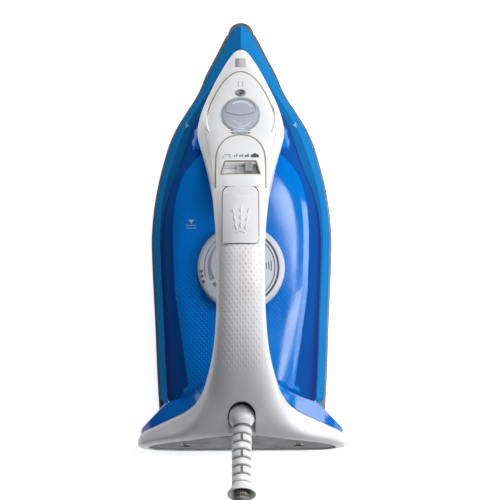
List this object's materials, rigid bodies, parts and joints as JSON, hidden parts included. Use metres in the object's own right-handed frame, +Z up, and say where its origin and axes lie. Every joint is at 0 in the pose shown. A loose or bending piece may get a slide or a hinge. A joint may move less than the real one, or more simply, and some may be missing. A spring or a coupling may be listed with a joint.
{
  "type": "steam iron",
  "caption": "Steam iron with a translucent water tank, closed loop handle, temperature dial, spray button and swivelling mains cord wound in a coil with its plug.",
  "frame": {"origin": "on the ironing surface, under the middle of the iron's length and width, cord left out", "axes": "+Y to the nose, +X to the right of someone ironing, +Z up from the soleplate"},
  "size_m": [0.146, 0.4886, 0.139],
  "materials": {
    "white_plastic": "satin moulded plastic",
    "pearl_plastic": "glossy pearl plastic",
    "grey_plastic": "matt moulded plastic",
    "blue_plastic": "glossy opaque blue plastic",
    "tank_blue": "glossy translucent blue plastic",
    "clear_plastic": "glossy translucent grey plastic",
    "dial_grey": "satin printed plastic",
    "silver_plastic": "silver painted plastic",
    "sole_metal": "dark coated aluminium",
    "cast_metal": "raw casting",
    "steel": "bright steel",
    "brass": "turned brass",
    "black_plastic": "black moulded plastic",
    "seal_rubber": "silicone rubber",
    "braided_cord": "textile braid over rubber"
  },
  "bodies": {
    "iron": {"soleplate": "sole_metal", "heater_casting": "cast_metal", "heating_element": "steel", "chamber_gasket": "seal_rubber", "chamber_cover": "steel", "thermostat": "steel", "thermostat_bush": "brass", "thermal_fuse": "steel", "heat_shield": "steel", "skirt": "blue_plastic", "tank_shell": "tank_blue", "tank_base": "tank_blue", "tank_seal": "seal_rubber", "shaft_tube": "tank_blue", "filler_neck": "white_plastic", "filler_seal": "seal_rubber", "fascia_panel": "pearl_plastic", "control_panel": "pearl_plastic", "cap_hinge_pin": "steel", "slider_guide": "silver_plastic", "valve_body": "brass", "spray_nozzle": "grey_plastic", "pump_body": "black_plastic", "pump_spring": "steel", "suction_hose": "clear_plastic", "spray_hose": "clear_plastic", "handle_housing": "white_plastic", "handle_underside": "white_plastic", "rear_cover": "grey_plastic", "rear_screw_left": "steel", "rear_screw_right": "steel", "swivel_socket": "grey_plastic", "cord_clamp": "grey_plastic", "inner_lead": "black_plastic", "terminal_block": "white_plastic", "mains_cord": "braided_cord", "mains_cord_tail": "braided_cord", "cord_coil": "braided_cord", "cord_tie": "black_plastic", "plug_body": "black_plastic", "plug_pin_left": "brass", "plug_pin_right": "brass"},
    "dial": {"temperature_dial": "dial_grey", "dial_shaft": "brass"},
    "steam_slide": {"steam_slider": "silver_plastic"},
    "valve_rod": {"steam_valve_rod": "steel"},
    "spray_key": {"spray_button": "white_plastic", "pump_piston": "white_plastic"},
    "filler_lid": {"filler_cap": "clear_plastic"},
    "cord_swivel": {"cord_ball": "white_plastic", "cord_guard": "white_plastic"}
  },
  "joints": [
    {"name": "dial_turn", "type": "hinge", "parent": "iron", "child": "dial", "pos_m": [0, -0.0318, 0.0712], "axis": [0, 0, 1], "range_deg": [-150, 150]},
    {"name": "steam_select", "type": "slide", "parent": "iron", "child": "steam_slide", "axis": [1, 0, 0], "range_m": [-0.0096, 0.0016]},
    {"name": "valve_lift", "type": "slide", "parent": "iron", "child": "valve_rod", "axis": [0, 0, 1], "range_m": [-0.0026, 0.0006]},
    {"name": "spray_press", "type": "slide", "parent": "iron", "child": "spray_key", "axis": [0, 0, -1], "range_m": [0, 0.0042], "stiffness_N_per_m": 600, "springref_m": -0.002, "deforming": ["pump_spring"]},
    {"name": "filler_open", "type": "hinge", "parent": "iron", "child": "filler_lid", "pos_m": [0, 0.0502, 0.08467], "axis": [1, 0, 0], "range_deg": [0, 100]},
    {"name": "cord_turn", "type": "hinge", "parent": "iron", "child": "cord_swivel", "pos_m": [0, -0.1225, 0.08], "axis": [0, 0, 1], "range_deg": [-18, 18], "deforming": ["mains_cord"]}
  ],
  "couplings": [
    {"joint": "valve_lift", "follows": "steam_select", "ratio": 0.25}
  ]
}
